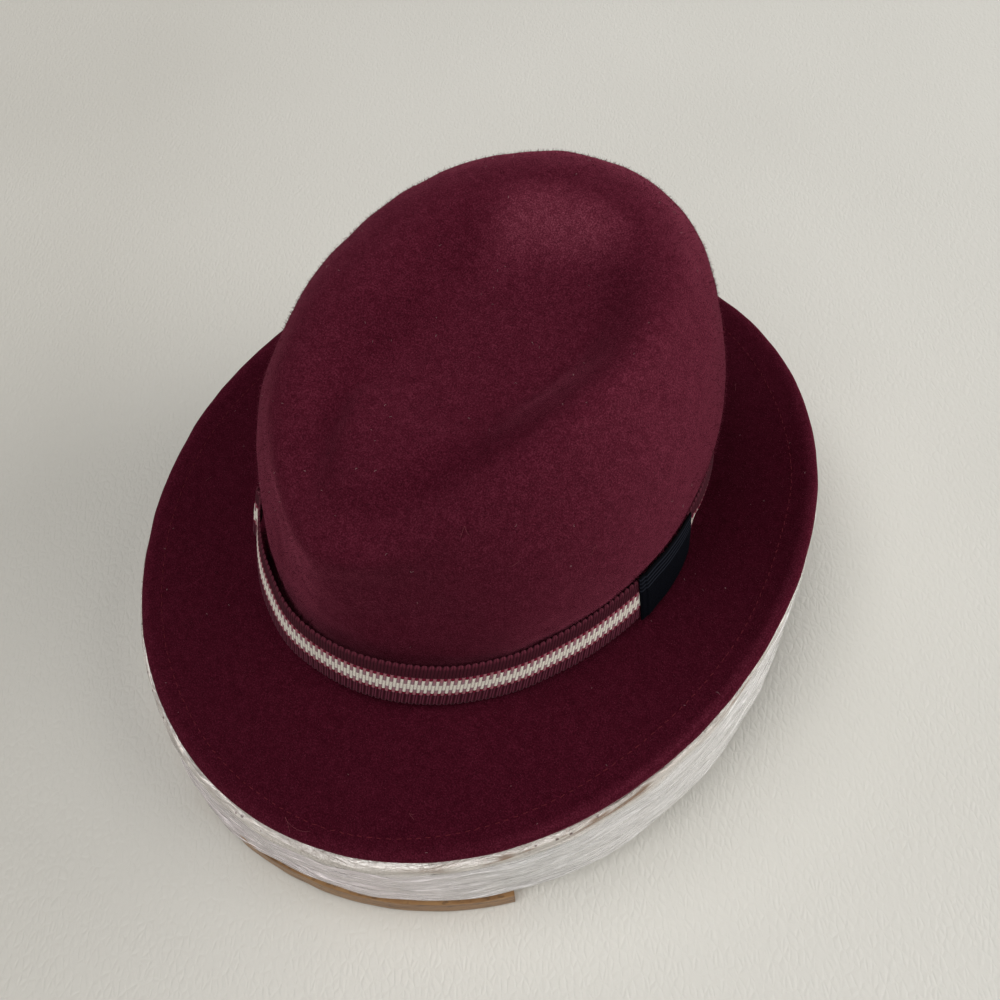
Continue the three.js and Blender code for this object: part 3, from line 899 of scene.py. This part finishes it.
def ribbon_material():
    """Plum grosgrain. u counts ribs and v runs from the foot, 0, to the top, 1."""
    g = Graph("ribbon_weave", 0.7)
    u, v, _ = g.split(g.along)
    odd = g.math("GREATER_THAN", g.math("MODULO", u, 2.0), 1.0)
    plum, wine = (0.066, 0.0085, 0.0185), (0.19, 0.006, 0.03)
    mauve, pink, cream = (0.36, 0.2, 0.23), (0.42, 0.16, 0.19), (0.9, 0.84, 0.74)
    low = [(STRIPE_LOW, wine), (0.335, cream), (0.55, mauve), (0.64, pink), (STRIPE_HIGH, plum)]
    high = [(STRIPE_LOW, pink), (0.36, mauve), (0.425, cream), (0.665, wine), (STRIPE_HIGH, plum)]
    low, high = (g.ramp(v, [(0, plum), *stops], "CONSTANT") for stops in (low, high))
    woven = g.mix(odd, low, high)
    # Light loops of yarn along both edges, two ribs to a loop
    from_pair = g.away(g.math("FRACT", g.times(u, 0.5)), 0.5)
    loop_side = g.math("DIVIDE", from_pair, PICOT_TOP_HALF)
    foot_end = g.math("DIVIDE", g.math("MAXIMUM", g.math("SUBTRACT", 0.045, v), 0.0), 0.05)
    squares = (g.math("POWER", side, 2.0) for side in (loop_side, foot_end))
    foot_away = g.math("SQRT", g.math("ADD", *squares))
    foot_line = g.span(g.away(foot_away, 0.9), 0.12, 0.4, 1.0, 0.0)
    foot_line = g.times(foot_line, g.math("LESS_THAN", v, STRIPE_LOW))
    colour = g.mix(foot_line, woven, (0.15, 0.03, 0.055))
    picot = g.times(g.span(v, 0.93, 0.975), g.span(loop_side, 0.7, 1.1, 1.0, 0.0))
    colour = g.mix(picot, colour, (0.115, 0.018, 0.034))
    # Painted shade in the grooves between the ribs
    groove = g.away(g.math("FRACT", u), 0.5)
    shade = g.ramp(groove, [(0.0, (1.0,) * 3), (0.34, (0.85,) * 3), (0.5, (0.35, 0.25, 0.28))])
    colour = g.mix(0.85, colour, shade, "MULTIPLY")
    thread = g.noise(2600, 1)
    colour = g.mix(0.5, colour, g.ramp(thread, [(0.3, (0.55,) * 3), (0.7, (1.15,) * 3)]), "MULTIPLY")
    halves = g.away(g.math("FRACT", g.times(u, 2.0)), 0.5)
    height = g.math("MULTIPLY_ADD", halves, -0.5, thread)
    normal = g.bump(height, 0.0001)
    return g.finish(colour, normal, Sheen_Weight=0.03, Sheen_Roughness=0.4, Specular_IOR_Level=0.1)


ribbon = ribbon_piece()
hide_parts("ribbon_band")

# Across the tab from its foot to its top fold: fine ribs, then a few wide ones
TAB_FINE_RIBS = 22
TAB_WIDE_RIBS = 4
TAB_WIDE_START = 0.66
TAB_FINE_DEPTH = 0.09
TAB_WIDE_DEPTH = 0.3
TAB_COLUMNS = 96
TAB_ROWS = 193
TAB_SWAY = 0.12
TAB_END_ROUND = 0.7
# A sunken line along the end nearer the front, where the ribbon is folded
TAB_FOLD_AT = 2.6
TAB_FOLD_DEPTH = 0.35


def tab_rib(t):
    """How far a rib stands out at a share t of the way up the tab, from 0 to 1."""
    fine = np.abs(np.sin(np.pi * TAB_FINE_RIBS * t / TAB_WIDE_START))
    wide = np.abs(np.sin(np.pi * TAB_WIDE_RIBS * (t - TAB_WIDE_START) / (1 - TAB_WIDE_START)))
    return np.where(t < TAB_WIDE_START, fine, wide)


def tab_piece():
    """A folded loop of black ribbon over the band, its ribs running along the band."""
    middle = np.linalg.norm(crown_plan(TAB_ANGLE, 0.0)[0])
    half_turn = np.degrees(TAB_LENGTH / 2 / middle)
    angle = np.linspace(TAB_ANGLE - half_turn, TAB_ANGLE + half_turn, TAB_COLUMNS)
    low, high = -TAB_UNDER / RIBBON_WIDTH, 1 + TAB_OVER / RIBBON_WIDTH
    face = RIBBON_THICKNESS + CLEARANCE
    section, across = [], []
    for t in np.linspace(0, 1, TAB_ROWS):
        depth = TAB_WIDE_DEPTH if t > TAB_WIDE_START else TAB_FINE_DEPTH
        full = TAB_THICKNESS * (0.72 + 0.28 * np.sin(np.pi * t) ** 0.3)
        section.append((lerp(low, high, t), face + full - depth * (1 - tab_rib(t))))
        across.append(t)
    for turn in np.linspace(0, np.pi, 9)[1:-1]:
        section.append((high + 0.035 * np.sin(turn), face + TAB_THICKNESS * 0.36 * (1 + np.cos(turn))))
        across.append(1.0)
    for t in np.linspace(1, 0, 8):
        section.append((lerp(low, high, t), face))
        across.append(t)
    section = np.array(section)
    from_end = (1 - np.abs(np.linspace(-1, 1, TAB_COLUMNS))) * TAB_LENGTH / 2
    end = arch(np.maximum(0, 1 - from_end / TAB_END_ROUND))
    fold = np.where(angle < TAB_ANGLE, smooth((TAB_FOLD_AT - from_end) / 0.5) * TAB_FOLD_DEPTH, 0)
    sway = waves(ribbon_point(angle, 0.5, 0), 14, 51) * TAB_SWAY
    rows = []
    for k, a in enumerate(angle):
        raised = (section[:, 1] - face) * (0.35 + 0.65 * end[k]) * (1 - fold[k])
        out = face + raised + sway[k] * (section[:, 1] > face)
        rows.append(ribbon_point(np.full(len(section), a), section[:, 0], out))
    faces = bar_faces(TAB_COLUMNS, len(section))
    piece = make_object("tab", np.concatenate(rows), faces, tab_material())
    set_values(piece, "across", np.tile(across, TAB_COLUMNS))
    return piece


def tab_material():
    g = Graph("tab_weave", 0.75)
    across = g.add("ShaderNodeAttribute", {"attribute_name": "across"}).outputs["Fac"]
    thread = g.noise(1900, 2, 0.6)
    # Painted highlight along the crests of the wide ribs
    top = g.math("GREATER_THAN", across, TAB_WIDE_START)
    count = TAB_WIDE_RIBS / (1 - TAB_WIDE_START)
    wave = g.math("SINE", g.times(g.math("SUBTRACT", across, TAB_WIDE_START), np.pi * count))
    painted_rib_highlight = g.times(g.span(g.math("ABSOLUTE", wave), 0.75, 1.0), top)
    colour = g.ramp(thread, [(0.3, (0.0008, 0.001, 0.0018)), (0.7, (0.004, 0.0048, 0.0085))])
    colour = g.mix(g.times(painted_rib_highlight, 0.8), colour, (0.022, 0.025, 0.036))
    # Painted shade, a darker black, along the top fold
    colour = g.mix(g.span(across, 0.985, 1.0), colour, (0.0012, 0.0012, 0.002))
    normal = g.bump(thread, 0.0001)
    return g.finish(colour, normal, Specular_IOR_Level=0.03)


tab = tab_piece()
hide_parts("ribbon_tab")

# Brim block: film-wrapped ring and bare feet
BLOCK_COLUMNS = 540
HOLE_RINGS = 3
TOP_RINGS = 30
SIDE_RINGS = 40
SHOULDER_RING = HOLE_RINGS + TOP_RINGS - 1
# The film's unevenness: ridges, drawn out along the block, and lumps
FILM_RIDGES = 0.3
FILM_RIDGE_PITCH = 7
FILM_RIDGE_STRETCH = 9
FILM_LUMPS = 0.3
FILM_LUMP_PITCH = 22
FILM_PROUD = 0.6
# On the wearer's right of the front the film hangs down over the front foot
DRAPE_FROM = -50
DRAPE_TO = -3
DRAPE_DROP = 8.5
DRAPE_OUT = 1.0


def block_piece():
    a = ring_angles(BLOCK_COLUMNS) - 180
    drape = smooth((a - DRAPE_FROM) / 6) * (1 - smooth((a - DRAPE_TO) / 10))
    floor = FOOT_HEIGHT - BREAK_HEIGHT
    hole, hole_out = crown_plan(a, 0.0)
    hole = hole + hole_out * HOLE_MARGIN
    top_start = block_top(a, 0.0)
    rings = [lifted(hole, lerp(floor, top_start[:, 2], t)) for t in np.linspace(0, 1, HOLE_RINGS)]
    rings += [block_top(a, t) for t in np.linspace(0, 1, TOP_RINGS)]
    shoulder = block_top(a, 1.0)
    side_top = block_outline(a, BLOCK_OVERHANG, shoulder[:, 2] - BLOCK_EDGE_ROUND)
    for t in np.radians([25, 50, 75]):
        rings.append(shoulder + (side_top - shoulder) * np.stack([np.sin(t), np.sin(t), 1 - np.cos(t)]))
    side_low = floor + BLOCK_UNDER_ROUND - DRAPE_DROP * drape
    for t in np.linspace(0, 1, SIDE_RINGS):
        out = BLOCK_OVERHANG + DRAPE_OUT * drape * smooth((t - 0.55) / 0.3)
        rings.append(block_outline(a, out, lerp(side_top[:, 2], side_low, t)))
    for t in np.radians([15, 30, 45, 60, 75, 90]):
        out = BLOCK_OVERHANG + DRAPE_OUT * drape - BLOCK_UNDER_ROUND * (1 - np.cos(t))
        rings.append(block_outline(a, out, side_low - BLOCK_UNDER_ROUND * np.sin(t)))
    rings = np.array(rings)
    length = length_along(rings[:, 0])
    round_length = length_along(side_top)[-1]
    u = np.arange(BLOCK_COLUMNS + 1) / BLOCK_COLUMNS * round_length
    flat = np.broadcast_arrays(u[None, :-1] / FILM_RIDGE_STRETCH, length[:, None], 0 * u[None, :-1])
    ridges = 1 - np.abs(waves(np.stack(flat, -1), FILM_RIDGE_PITCH, 21)) * 2
    lumps = waves(rings, FILM_LUMP_PITCH, 22)
    outside = smooth((length - length[SHOULDER_RING]) / 6)[:, None]
    amount = (FILM_RIDGES * ridges + FILM_LUMPS * lumps) * outside
    rings = rings + grid_normals(rings) * np.minimum(amount, FILM_PROUD)[..., None]
    material = film_material(length[SHOULDER_RING] * MM)
    faces = ring_faces(len(rings), BLOCK_COLUMNS, True)
    piece = make_object("block_wrap", rings.reshape(-1, 3), faces, material)
    set_uv(piece, u * MM, np.array([*length, length[-1] + 40]) * MM, len(rings), BLOCK_COLUMNS, True)
    return piece


def film_material(shoulder):
    """Clear stretch film in many layers over pale wood. The shoulder is where the side starts."""
    g = Graph("wrapped_film", 0.3)
    u, v, _ = g.split(g.along)
    bent = g.math("MULTIPLY_ADD", g.noise(22, 1), 0.012, v)
    lines = g.combine(g.times(u, 0.12), bent)
    streak = g.noise(620, 3, 0.7, at=lines)
    broad = g.noise(170, 2, 0.6, at=lines)
    high = g.span(v, shoulder + 0.004, shoulder + 0.0085, 1.0, 0.0)
    calm = g.span(g.noise(9, 1), 0.45, 0.6, 1.0, 0.35)
    wearers_left = g.span(g.split(g.place)[0], 0.06, 0.1)
    side = g.mix(wearers_left, (0.8, 0.715, 0.715), (0.78, 0.76, 0.745))
    base = g.mix(high, side, (0.66, 0.6, 0.54))
    # Painted glints, brighter than any real white, along the film's streaks, and painted shade in their
    # darker lines
    painted_glints_and_shade = [(0.36, (0.42, 0.4, 0.4)), (0.46, (0.8, 0.78, 0.78))]
    painted_glints_and_shade += [(0.55, (0.92, 0.92, 0.94)), (0.62, (1.7, 1.7, 1.72))]
    colour = g.mix(calm, base, g.ramp(streak, painted_glints_and_shade), "MULTIPLY")
    shaking = {"Vector": g.place, "Scale": 420.0, "Detail": 2.0}
    shaken = g.add("ShaderNodeTexNoise", inputs=shaking).outputs["Color"]
    shaken = g.vector("MULTIPLY_ADD", shaken, (0.0024,) * 3, g.place)
    crackle = g.span(g.cells(560, "DISTANCE_TO_EDGE", at=shaken), 0.01, 0.1, 0.5, 0.0)
    crackle = g.times(crackle, g.span(g.noise(90, 2), 0.4, 0.6, 0.25, 1.0))
    colour = g.mix(g.times(crackle, high), colour, (0.25, 0.19, 0.15))
    worn = g.noise(75, 3, 0.6, at=g.combine(g.times(u, 0.24), v))
    from_edge = g.away(v, shoulder + 0.0015)
    worn = g.times(g.span(worn, 0.52, 0.56), g.span(from_edge, 0.001, 0.003, 1.0, 0.0))
    worn = g.times(worn, wearers_left)
    pits = g.span(g.cells(240), 0.12, 0.2, 1.0, 0.0)
    pits = g.times(pits, g.span(from_edge, 0.001, 0.002, 1.0, 0.0))
    pits = g.times(pits, g.span(g.noise(60, 1), 0.45, 0.52))
    colour = g.mix(worn, colour, (0.22, 0.11, 0.05))
    colour = g.mix(pits, colour, (0.09, 0.022, 0.02))
    shine = g.span(broad, 0.35, 0.65, 0.12, 0.5)
    normal = g.bump(streak, 0.0011, g.bump(broad, 0.003))
    g.put(g.shader.inputs["Coat Normal"], normal)
    return g.finish(colour, normal, shine, Coat_Weight=1.0, Coat_Roughness=0.08, Coat_IOR=2.0)


block = block_piece()
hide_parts("brim_block")

FOOT_STEPS = 160
FOOT_EASE = 2.2
FOOT_WAVE = 0.175


def foot_piece(name, middle, seed):
    """One bare wooden foot under the block, with rounded lower edges."""
    outer = BLOCK_OVERHANG + FOOT_PROUD
    inner = outer - FOOT_WIDTH
    low, high = -BREAK_HEIGHT, FOOT_HEIGHT - BREAK_HEIGHT + 1
    eased = low + FOOT_EASE
    t = np.radians([0, 30, 60, 90])
    turns = list(zip(FOOT_EASE * (1 - np.cos(t)), eased - FOOT_EASE * np.sin(t)))
    section = [(inner, high), (inner, eased)]
    section += [(inner + across, z) for across, z in turns]
    section += [(outer - across, z) for across, z in turns[::-1]]
    section += [(outer, lerp(eased, high, t)) for t in np.linspace(0, 1, 6)[1:]]
    angles = np.linspace(middle - FOOT_REACH, middle + FOOT_REACH, FOOT_STEPS)
    rows = np.array([[block_outline(a, out, z) for out, z in section] for a in angles])
    rows[..., :2] += waves(rows, 16, seed)[..., None] * FOOT_WAVE
    faces = [f[::-1] for f in bar_faces(FOOT_STEPS, len(section))]
    piece = make_object(name, rows.reshape(-1, 3), faces, wood_material())
    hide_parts("brim_block")


def wood_material():
    g = Graph("bare_wood", 0.5)
    around = g.noise(8, 2)
    grain = g.noise(1.0, 4, 0.65, 0.4, at=g.vector("MULTIPLY", g.place, (40.0, 40.0, 900.0)))
    pores = g.noise(1200, 2, at=g.vector("MULTIPLY", g.place, (0.25, 0.25, 1.0)))
    browns = [(0.3, (0.15, 0.07, 0.024)), (0.5, (0.3, 0.155, 0.06)), (0.7, (0.42, 0.24, 0.1))]
    colour = g.ramp(grain, browns)
    colour = g.mix(g.span(pores, 0.56, 0.64, 0.0, 0.5), colour, (0.06, 0.03, 0.015))
    colour = g.mix(g.span(around, 0.6, 0.66, 0.0, 0.6), colour, (0.07, 0.065, 0.06))
    return g.finish(colour, g.bump(grain, 0.0003), Coat_Weight=0.1)


foot_piece("foot_front", middle=0, seed=31)
foot_piece("foot_back", middle=180, seed=32)

# The floor's half width in metres, and the turn of its creases
FLOOR_HALF = 3.0
FLOOR_TURN = -40


def floor_piece():
    mesh = bpy.data.meshes.new("floor")
    corners = [(x * FLOOR_HALF, y * FLOOR_HALF, 0) for x, y in ((-1, -1), (1, -1), (1, 1), (-1, 1))]
    mesh.from_pydata(corners, [], [(0, 1, 2, 3)])
    floor = linked("floor", mesh)
    g = Graph("pale_floor", 0.6)
    turning = {"Vector": g.place, "Rotation": (0, 0, np.radians(FLOOR_TURN))}
    turned = g.add("ShaderNodeMapping", inputs=turning).outputs[0]
    creases = g.cells(1.0, "DISTANCE_TO_EDGE", at=g.vector("MULTIPLY", turned, (400.0, 200.0, 1.0)))
    fine = g.noise(300, 2, 0.6)
    broad = g.noise(3, 2)
    colour = g.ramp(broad, [(0.35, (0.64, 0.627, 0.585)), (0.65, (0.68, 0.667, 0.625))])
    # Painted light: the floor darker towards the wearer's right and front, lighter towards the wearer's
    # left and back
    x, y, _ = g.split(g.place)
    across = g.math("MULTIPLY_ADD", x, 0.77, g.times(y, 0.64))
    painted_light_gradient = [(0.0, (0.86, 0.85, 0.83)), (0.5, (0.99, 0.985, 0.975)), (1.0, (1.04, 1.04, 1.03))]
    colour = g.mix(1.0, colour, g.ramp(g.span(across, -0.22, 0.22), painted_light_gradient), "MULTIPLY")
    specks = g.cells(9.0)
    colour = g.mix(g.span(specks, 0.006, 0.014, 0.6, 0.0), colour, (0.3, 0.28, 0.24))
    height = g.math("MULTIPLY_ADD", g.span(creases, 0.0, 0.25), 0.5, fine)
    mesh.materials.append(g.finish(colour, g.bump(height, 0.00022)))


floor_piece()


def way_to(azimuth, elevation):
    """The way to a place round the hat. Azimuth 0 is in front of it, 90 on the wearer's left."""
    flat = np.cos(elevation)
    return np.array([np.sin(azimuth) * flat, -np.cos(azimuth) * flat, np.sin(elevation)])


# The photograph's view: azimuth, elevation, roll, yaw and pitch in degrees, the distance from
# the brim break's middle, and the focal length as a share of the sensor's width
CAMERA_ANGLES = [40.01, 53.72, -2.61, 0.41, -0.44]
CAMERA_DISTANCE = 487.94
CAMERA_FOCAL = 1.16478
SENSOR = 36


def set_camera():
    azimuth, elevation, roll, yaw, pitch = np.radians(CAMERA_ANGLES)
    back = way_to(azimuth, elevation)
    right = np.array([np.cos(azimuth), np.sin(azimuth), 0])
    up = np.cross(right, -back)
    ahead, side = -back * np.cos(yaw) + right * np.sin(yaw), right * np.cos(yaw) + back * np.sin(yaw)
    look, rise = ahead * np.cos(pitch) + up * np.sin(pitch), up * np.cos(pitch) - ahead * np.sin(pitch)
    x = side * np.cos(roll) + rise * np.sin(roll)
    y = rise * np.cos(roll) - side * np.sin(roll)
    at = (back * CAMERA_DISTANCE + OFFSET) * MM
    camera = linked("camera", bpy.data.cameras.new("camera"))
    camera.data.sensor_width = SENSOR
    camera.data.lens = SENSOR * CAMERA_FOCAL
    camera.data.clip_start = 0.01
    camera.matrix_world = Matrix([*np.column_stack([x, y, -look, at]).tolist(), (0, 0, 0, 1)])
    bpy.context.scene.camera = camera


set_camera()

LIGHT_SPREAD = 35


def soft_light(name, azimuth, elevation, energy, colour):
    """A wide, soft, far light, from azimuth and elevation in degrees."""
    way = Vector(way_to(*np.radians([azimuth, elevation])))
    light = bpy.data.lights.new(name, "SUN")
    light.angle = np.radians(LIGHT_SPREAD)
    light.energy = energy
    light.color = colour
    lamp = linked(name, light)
    lamp.location = way
    lamp.rotation_euler = way.to_track_quat("Z", "Y").to_euler()


soft_light("front", 0, 58, 1.15, (1.0, 0.99, 0.97))
soft_light("right", 300, 68, 0.72, (1.0, 0.99, 0.98))
soft_light("left", 112, 42, 0.95, (1.0, 0.98, 0.95))
soft_light("low_back_left", 135, 12, 1.5, (1.0, 0.98, 0.96))

world = bpy.data.worlds.new("room")
world.use_nodes = True
world.node_tree.nodes["Background"].inputs["Color"].default_value = (0.93, 0.96, 1.0, 1.0)
world.node_tree.nodes["Background"].inputs["Strength"].default_value = 0.14
bpy.context.scene.world = world
bpy.context.scene.view_settings.view_transform = "Standard"
